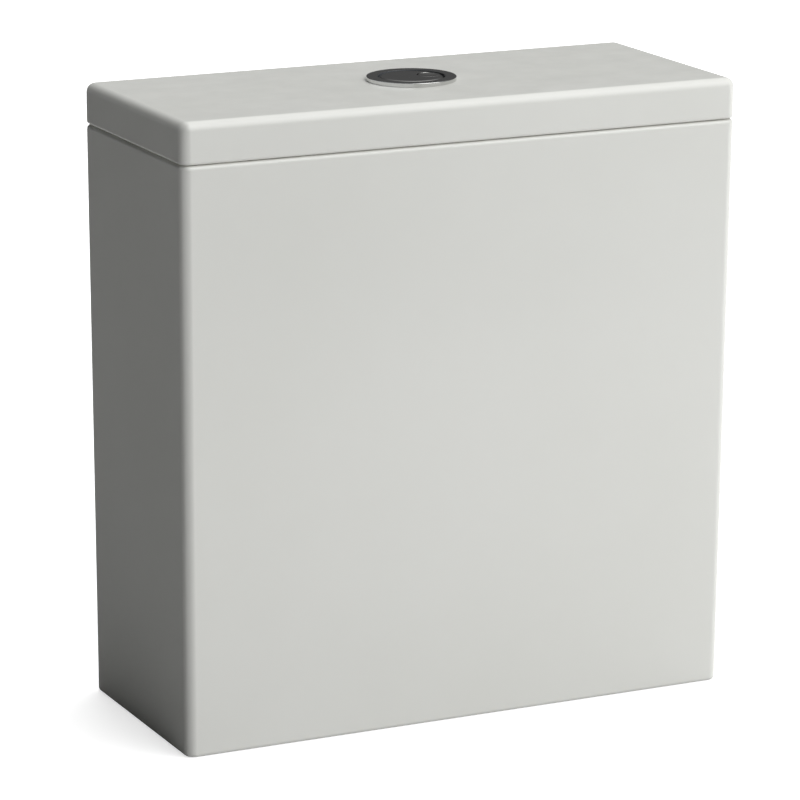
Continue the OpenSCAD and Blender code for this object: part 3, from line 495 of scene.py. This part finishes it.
def shell(name, outline, path, walls):
    """Closed ceramic shell: a path of (inset, height, rounding) corners led round an outline. Each corner's
    wall gives its inset and the radius of the upright corners there."""
    bm = bmesh.new()
    loops = []
    for inset, z, number in softened(path, False):
        wall_inset, wall_radius = walls[number]
        left, right, front, back = outline(z)
        bounds = (left + inset, right - inset, front + inset, back - inset)
        loops.append([bm.verts.new(p) for p in ring(bounds, wall_radius - inset + wall_inset, z)])
    for low, high in zip(loops, loops[1:]):
        bridged(bm, low, high)
    bm.faces.new(loops[0])
    bm.faces.new(loops[-1])
    return object_of(bm, name)


def tank_outline(z):
    """Left, right, front and back of the leaning tank at a height."""
    straight = SEAM_Z - RIM_ROUND - BASE_ROUND
    lean = 1 - min(max((z - BASE_ROUND) / straight, 0), 1)
    return (TANK_LOW.x + SIDE_LEAN * lean, TANK_HIGH.x - SIDE_LEAN * lean,
            TANK_LOW.y + FRONT_LEAN * lean, TANK_HIGH.y)


def lid_outline(z):
    """Left, right, front and back of the lid."""
    return LID_LOW.x, LID_HIGH.x, LID_LOW.y, LID_HIGH.y


def two_toned(piece, main, other, chosen):
    """Gives the chosen faces of a piece another finish than the rest."""
    piece.data.materials.append(main)
    piece.data.materials.append(other)
    for face in piece.data.polygons:
        face.material_index = 1 if chosen(face) else 0
    return piece


def unglazed(piece, heights):
    """Leaves the downward faces at these heights bare of glaze."""
    def bare(face):
        return face.normal.z < DOWNWARD and any(abs(face.center.z - z) < LEVEL_SLACK for z in heights)
    return two_toned(piece, FINISH["glaze"], BISQUE, bare)


cavity_wall = (WALL, CAVITY_R)
outer_wall = (0.0, CORNER_R)
recess_wall = (WALL, RECESS_R)
tank = shell("tank_ceramic", tank_outline, [
    (MIDDLE_INSET, FLOOR_Z, 0),
    (WALL, FLOOR_Z, CAVITY_FLOOR_ROUND),
    (WALL, SEAM_Z, RIM_INNER_ROUND),
    (RIM_LAND, SEAM_Z, 0),
    (0, SEAM_Z - RIM_SLIT, RIM_ROUND),
    (0, 0, BASE_ROUND),
    (WALL, 0, BASE_ROUND),
    (WALL + RECESS_DRAFT, RECESS_Z, RECESS_ROUND),
    (MIDDLE_INSET, RECESS_Z, 0),
], [cavity_wall] * 3 + [outer_wall] * 3 + [recess_wall] * 3)
through = (RECESS_Z - WALL, FLOOR_Z + WALL)
worked(tank, [
    drill(OUTLET_HOLE_R, *through),
    drill(INLET_HOLE_R, *through, FILL_X),
    drill(BOLT_HOLE_R, *through, -BOLT_X),
    drill(BOLT_HOLE_R, *through, BOLT_X),
], "DIFFERENCE")
placed(eased(unglazed(tank, [0.0]), HOLE_EASE), "tank")

lip_wall = (LIP_INSET, LIP_R)
hollow_wall = (LIP_INSET + LIP_T, LIP_R - LIP_T)
lid = shell("lid_ceramic", lid_outline, [
    (MIDDLE_INSET, LID_UNDER_Z, 0),
    (LIP_INSET + LIP_T, LID_UNDER_Z, HOLLOW_ROUND),
    (LIP_INSET + LIP_T, LID_LOW.z, LIP_ROUND),
    (LIP_INSET, LID_LOW.z, LIP_ROUND),
    (LIP_INSET, SEAM_Z, LIP_ROOT_ROUND),
    (0, SEAM_Z, LID_BOTTOM_ROUND),
    (0, LID_HIGH.z, LID_TOP_ROUND),
    (MIDDLE_INSET, LID_HIGH.z, 0),
], [hollow_wall] * 3 + [lip_wall] * 2 + [outer_wall] * 3)
worked(lid, [drill(SLEEVE_HOLE_R, SEAM_Z, LID_HIGH.z + WALL)], "DIFFERENCE")
placed(eased(unglazed(lid, [SEAM_Z, LID_LOW.z]), HOLE_EASE), "lid")


# Buttons and their bezel

bezel = turned("bezel_plated", [
    (0, SLEEVE_FLOOR_Z, 0),
    (BORE_R, SLEEVE_FLOOR_Z, SLEEVE_EDGE),
    (BORE_R, BEZEL_Z, BORE_EDGE),
    (BEZEL_R, BEZEL_Z, BEZEL_EDGE),
    (BEZEL_R, LID_HIGH.z, BEZEL_FOOT_EDGE),
    (SLEEVE_R, LID_HIGH.z, SLEEVE_ROOT_EDGE),
    (SLEEVE_R, SLEEVE_Z, SLEEVE_EDGE),
    (BORE_R, SLEEVE_Z, SLEEVE_EDGE),
    (BORE_R, SLEEVE_FLOOR_Z - SLEEVE_FLOOR_T, SLEEVE_EDGE),
    (0, SLEEVE_FLOOR_Z - SLEEVE_FLOOR_T, 0),
])
stems = ((-ROD_X, FULL_STEM_R + GUIDE_GAP), (ROD_X, HALF_STEM_R + GUIDE_GAP))
worked(bezel, [drill(r + GUIDE_WALL, SLEEVE_Z, SLEEVE_FLOOR_Z - MM, x) for x, r in stems], "UNION")
worked(bezel, [drill(r, SLEEVE_Z - MM, SLEEVE_FLOOR_Z + MM, x) for x, r in stems], "DIFFERENCE")


def in_shade_painted_bore(face):
    """Whether a face belongs to the bore wall behind the cap, whose dark finish is painted shade for the
    dark gap round the buttons.
    """
    reach = math.hypot(face.center.x, face.center.y)
    return reach < BORE_R + BORE_EDGE / 4 and SLEEVE_FLOOR_Z - MM < face.center.z < BEZEL_Z


# The bore wall gets a dark finish: painted shade standing in for the dark gap round the buttons.
two_toned(bezel, FINISH["bezel_chrome"], FINISH["dark_plastic"], in_shade_painted_bore)
placed(eased(bezel, BEZEL_EASE, FINE_EASE_STEPS), "button_bezel")


def stem(radius, x):
    """Stem under a button, with its stop collar and the blind hole for its rod."""
    hole_end = STEM_Z + ROD_HOLD
    return turned("tool", [
        (0, CAP_UNDER_Z + MM, 0),
        (radius, CAP_UNDER_Z + MM, 0),
        (radius, COLLAR_Z + COLLAR_T, 0),
        (radius + COLLAR_OVER, COLLAR_Z + COLLAR_T, STEM_EDGE),
        (radius + COLLAR_OVER, COLLAR_Z, STEM_EDGE),
        (radius, COLLAR_Z, 0),
        (radius, STEM_Z, STEM_EDGE),
        (ROD_HOLE_R, STEM_Z, STEM_EDGE),
        (ROD_HOLE_R, hole_end, 0),
        (0, hole_end, 0),
    ], x, 0.0, DRILL_STEPS)


skirt_z = CAP_UNDER_Z - SKIRT_H
full_button = turned("full_button_plated", [
    (0, CAP_UNDER_Z, 0),
    (FULL_R - SKIRT_T, CAP_UNDER_Z, SKIRT_ROOT_EDGE),
    (FULL_R - SKIRT_T, skirt_z, SKIRT_EDGE),
    (FULL_R, skirt_z, SKIRT_EDGE),
    (FULL_R, CAP_Z, FULL_EDGE),
    (0, CAP_Z, 0),
])
worked(full_button, [drill(HALF_HOLE_R, skirt_z - MM, CAP_Z + MM, ROD_X)], "DIFFERENCE")
worked(full_button, [stem(FULL_STEM_R, -ROD_X)], "UNION")
placed(eased(full_button, FULL_EASE), "full_button")

dish = [(0, CAP_Z - DISH_DEPTH, 0)]
for step in range(1, DISH_STEPS):
    reach = (HALF_R - CAP_EDGE) * step / DISH_STEPS
    dish.append((reach, CAP_Z - DISH_DEPTH * (1 - (step / DISH_STEPS) ** 2), 0))
half_button = turned("half_button_plated", [
    (0, CAP_UNDER_Z, 0),
    (HALF_R, CAP_UNDER_Z, HALF_UNDER_EDGE),
    (HALF_R, CAP_Z, CAP_EDGE),
    *reversed(dish),
], ROD_X, 0.0, DRILL_STEPS)
worked(half_button, [stem(HALF_STEM_R, ROD_X)], "UNION")
placed(eased(half_button, HALF_EASE, FINE_EASE_STEPS), "half_button")


# Wound and repeated details

def geometry_tree(name, inputs):
    """An empty geometry node tree with named inputs: name, kind and starting value."""
    tree = bpy.data.node_groups.new(name, "GeometryNodeTree")
    tree.interface.new_socket("Geometry", in_out="OUTPUT", socket_type="NodeSocketGeometry")
    for label, kind, value in inputs:
        socket = tree.interface.new_socket(label, in_out="INPUT", socket_type=kind)
        if value is not None:
            socket.default_value = value
    return tree


def closed_tree(tree, inside, geometry):
    """Ends a tree: smooth, real faces in the finish that its input names."""
    smooth = add(tree, "GeometryNodeSetShadeSmooth", _0=geometry).outputs[0]
    real = add(tree, "GeometryNodeRealizeInstances", _0=smooth).outputs[0]
    coated = add(tree, "GeometryNodeSetMaterial", _0=real, Material=inside.outputs["Finish"]).outputs[0]
    tree.links.new(coated, tree.nodes.new("NodeGroupOutput").inputs[0])
    return tree


def wound_tree():
    """Wire or thread wound upwards round an upright axis."""
    tree = geometry_tree("wound_wire", [
        ("Foot", "NodeSocketVector", (0, 0, 0)), ("Radius", "NodeSocketFloat", 0.005),
        ("Rise", "NodeSocketFloat", 0.01), ("Turns", "NodeSocketFloat", 5.0),
        ("Thickness", "NodeSocketFloat", 0.001), ("Sides", "NodeSocketInt", 12),
        ("Steps", "NodeSocketInt", 40), ("Finish", "NodeSocketMaterial", None)])
    inside = tree.nodes.new("NodeGroupInput")
    given = inside.outputs
    path = add(tree, "GeometryNodeCurveSpiral", Resolution=given["Steps"], Rotations=given["Turns"],
               Start_Radius=given["Radius"], End_Radius=given["Radius"], Height=given["Rise"])
    upright = add(tree, "GeometryNodeSetCurveNormal", {"mode": "Z_UP"}, Curve=path.outputs[0])
    half = add(tree, "ShaderNodeMath", {"operation": "MULTIPLY"}, _0=given["Thickness"], _1=0.5).outputs[0]
    section = add(tree, "GeometryNodeCurvePrimitiveCircle", Resolution=given["Sides"], Radius=half)
    wire = add(tree, "GeometryNodeCurveToMesh", Curve=upright.outputs[0], Profile_Curve=section.outputs[0],
               Fill_Caps=True)
    stood = add(tree, "GeometryNodeTransform", Geometry=wire.outputs[0], Translation=given["Foot"])
    return closed_tree(tree, inside, stood.outputs[0])


def ladder_tree():
    """Short round rungs repeated up a line."""
    tree = geometry_tree("ladder", [
        ("Foot", "NodeSocketVector", (0, 0, 0)), ("Count", "NodeSocketInt", 10),
        ("Pitch", "NodeSocketFloat", 0.003), ("Radius", "NodeSocketFloat", 0.002),
        ("Thickness", "NodeSocketFloat", 0.001), ("Sides", "NodeSocketInt", 48),
        ("Finish", "NodeSocketMaterial", None)])
    inside = tree.nodes.new("NodeGroupInput")
    given = inside.outputs
    step = add(tree, "ShaderNodeCombineXYZ", Z=given["Pitch"]).outputs[0]
    line = add(tree, "GeometryNodeMeshLine", Count=given["Count"], Start_Location=given["Foot"],
               Offset=step)
    rung = add(tree, "GeometryNodeMeshCylinder", Vertices=given["Sides"], Radius=given["Radius"],
               Depth=given["Thickness"])
    rungs = add(tree, "GeometryNodeInstanceOnPoints", Points=line.outputs[0], Instance=rung.outputs[0])
    return closed_tree(tree, inside, rungs.outputs[0])


def grown(name, tree, sizes):
    """Plain mesh object of what a tree grows from these sizes."""
    seed = bpy.data.objects.new(name + "_seed", bpy.data.meshes.new(name + "_seed"))
    scene.collection.objects.link(seed)
    growth = seed.modifiers.new("growth", "NODES")
    growth.node_group = tree
    for item in tree.interface.items_tree:
        if item.item_type == "SOCKET" and item.in_out == "INPUT" and item.name in sizes:
            growth[item.identifier] = sizes[item.name]
    mesh = bpy.data.meshes.new_from_object(seed.evaluated_get(bpy.context.evaluated_depsgraph_get()))
    bpy.data.objects.remove(seed)
    piece = bpy.data.objects.new(name, mesh)
    scene.collection.objects.link(piece)
    return piece


WOUND = wound_tree()
LADDER = ladder_tree()

for node, joint, x, stem_r, wire in (("full_spring", "full_press", -ROD_X, FULL_STEM_R, FULL_WIRE),
                                     ("half_spring", "half_press", ROD_X, HALF_STEM_R, HALF_WIRE)):
    spring = grown(node + "_wire", WOUND, {
        "Foot": (x, 0.0, SLEEVE_FLOOR_Z + SPRING_SEAT + wire / 2),
        "Radius": stem_r + GUIDE_GAP + wire / 2,
        "Rise": SPRING_LENGTH - 2 * SPRING_SEAT - wire,
        "Turns": SPRING_TURNS,
        "Thickness": wire,
        "Sides": WIRE_SIDES,
        "Steps": WIRE_STEPS,
        "Finish": FINISH["spring_steel"],
    })
    placed(spring, node)
    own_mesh(spring)


for name, node, x, crest, low, high, pitch, tooth in THREADS:
    thread = grown(name, WOUND, {
        "Foot": (x, 0.0, low),
        "Radius": crest - tooth / 2,
        "Rise": high - low,
        "Turns": (high - low) / pitch,
        "Thickness": tooth,
        "Sides": THREAD_SIDES,
        "Steps": THREAD_STEPS,
        "Finish": FINISH[SLOT_OF[node]],
    })
    placed(thread, node, False)

link_low, link_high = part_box("float_link")
notches = grown("link_notches", LADDER, {
    "Foot": ((link_low.x + link_high.x) / 2, 0.0, NOTCH_Z),
    "Count": NOTCHES,
    "Pitch": NOTCH_PITCH,
    "Radius": NOTCH_R,
    "Thickness": NOTCH_T,
    "Finish": FINISH["white_plastic"],
})
placed(notches, "float_link", False)


# Pieces that keep their solids' shape, with eased edges

def draw_in(bm, x, radius, root):
    """Draws a shank's wall in from one radius about an upright axis to another."""
    for vert in bm.verts:
        reach = math.hypot(vert.co.x - x, vert.co.y)
        if abs(reach - radius) < SHANK_SLACK:
            vert.co.x = x + (vert.co.x - x) * root / reach
            vert.co.y *= root / reach


def dressed(node, edge, clamp):
    """Copy of a node's mesh with its flat faces joined and its edges eased, or left crisp."""
    bm = bmesh.new()
    bm.from_mesh(NODES[node].data)
    bmesh.ops.remove_doubles(bm, verts=bm.verts, dist=MERGE)
    bmesh.ops.dissolve_limit(bm, angle_limit=FLAT_LIMIT, verts=bm.verts, edges=bm.edges)
    if node == "fill_valve_body":
        draw_in(bm, FILL_X, INLET_R, INLET_ROOT_R)
    piece = object_of(bm, node + "_dressed")
    if edge:
        eased(piece, edge, clamp=clamp)
    else:
        piece.data.set_sharp_from_angle(angle=EASE_LIMIT)
    return placed(piece, node)


for node, edge in EDGES.items():
    dressed(node, edge * MM, node not in FREE_EDGES)


# Floor, light and camera

def floor_finish():
    """White floor that keeps a soft shadow in view and throws little light back at the object."""
    material = bpy.data.materials.new("studio_floor")
    material.use_nodes = True
    material.cycles.emission_sampling = "NONE"
    tree = material.node_tree
    tree.nodes.clear()
    seen = add(tree, "ShaderNodeLightPath").outputs
    direct = add(tree, "ShaderNodeMath", {"operation": "MAXIMUM"}, _0=seen["Is Camera Ray"],
                 _1=seen["Is Glossy Ray"]).outputs[0]
    direct = add(tree, "ShaderNodeMath", {"operation": "MAXIMUM"}, _0=direct,
                 _1=seen["Is Transmission Ray"]).outputs[0]
    paint = add(tree, "ShaderNodeBsdfDiffuse", Color=FLOOR_PAINT).outputs[0]
    glow = add(tree, "ShaderNodeEmission", Color=(1, 1, 1, 1), Strength=FLOOR_GLOW).outputs[0]
    white = add(tree, "ShaderNodeAddShader", _0=paint, _1=glow).outputs[0]
    dull = add(tree, "ShaderNodeBsdfDiffuse", Color=FLOOR_DULL).outputs[0]
    mixed = add(tree, "ShaderNodeMixShader", _0=direct, _1=dull, _2=white).outputs[0]
    tree.links.new(mixed, tree.nodes.new("ShaderNodeOutputMaterial").inputs[0])
    return material


bm = bmesh.new()
bmesh.ops.create_grid(bm, x_segments=1, y_segments=1, size=FLOOR_REACH)
bmesh.ops.translate(bm, verts=bm.verts, vec=(0, 0, -FLOOR_DROP))
floor = object_of(bm, "studio_floor")
floor.data.materials.append(floor_finish())


def flag(name, slot, corners):
    """Flat card beside the object that only its gloss sees."""
    bm = bmesh.new()
    bm.faces.new([bm.verts.new(corner) for corner in corners])
    card = object_of(bm, name)
    card.data.materials.append(FINISH[slot])
    for kind in ("camera", "diffuse", "shadow", "transmission"):
        setattr(card, "visible_" + kind, False)


flag("left_flag", "black_rubber", [(x, y, FLAG_LIFT) for x, y in LEFT_FLAG])
flag("front_flag", "grey_plastic", [(x, y, FLAG_LIFT) for x, y in FRONT_FLAG])
flag("left_board", "grey_plastic", [(LEFT_BOARD_X, y, z) for y, z in LEFT_BOARD])

world = bpy.data.worlds.new("studio")
world.use_nodes = True
scene.world = world
sky = world.node_tree
direction = add(sky, "ShaderNodeTexCoord").outputs["Generated"]
towards = add(sky, "ShaderNodeSeparateXYZ", Vector=direction).outputs
ramp = add(sky, "ShaderNodeValToRGB", Fac=towards["Z"])
while len(ramp.color_ramp.elements) < len(SKY_LEVELS):
    ramp.color_ramp.elements.new(0.5)
for element, (height, level) in zip(ramp.color_ramp.elements, SKY_LEVELS):
    element.position = height
    element.color = (level, level, level, 1)
side = spread(sky, towards["X"], SKY_LEFT, SKY_RIGHT, SKY_LEFT_SHARE, SKY_RIGHT_SHARE)
sky.links.new(ramp.outputs["Color"], sky.nodes["Background"].inputs["Color"])
sky.links.new(side, sky.nodes["Background"].inputs["Strength"])

def softbox(name, direction, distance, size, power, mirrored):
    """Square lamp that faces the middle of the object, seen in its gloss or not."""
    lamp = bpy.data.lights.new(name, "AREA")
    lamp.size = size
    lamp.energy = power
    holder = bpy.data.objects.new(name, lamp)
    holder.location = MIDDLE + Vector(direction).normalized() * distance
    holder.rotation_euler = (MIDDLE - holder.location).to_track_quat("-Z", "Y").to_euler()
    holder.visible_glossy = mirrored
    scene.collection.objects.link(holder)


softbox("key_light", direction=(0.33, -0.6, 0.73), distance=7.0, size=7.0, power=346, mirrored=True)
softbox("right_light", direction=(0.75, -0.66, 0.0), distance=1.7, size=1.5, power=14, mirrored=False)
softbox("back_light", direction=(0.3, 0.5, 0.82), distance=5.0, size=4.0, power=130, mirrored=False)

lens = bpy.data.cameras.new("camera")
lens.angle = CAMERA_VIEW
lens.clip_end = CAMERA_REACH
camera = bpy.data.objects.new("camera", lens)
aim = (Matrix.Rotation(-CAMERA_YAW, 3, "Z") @ Matrix.Rotation(math.pi / 2 - CAMERA_PITCH, 3, "X")
       @ Matrix.Rotation(CAMERA_ROLL, 3, "Z"))
camera.rotation_euler = aim.to_euler()
camera.location = CAMERA_PLACE
scene.collection.objects.link(camera)
scene.camera = camera
scene.view_settings.view_transform = "Standard"
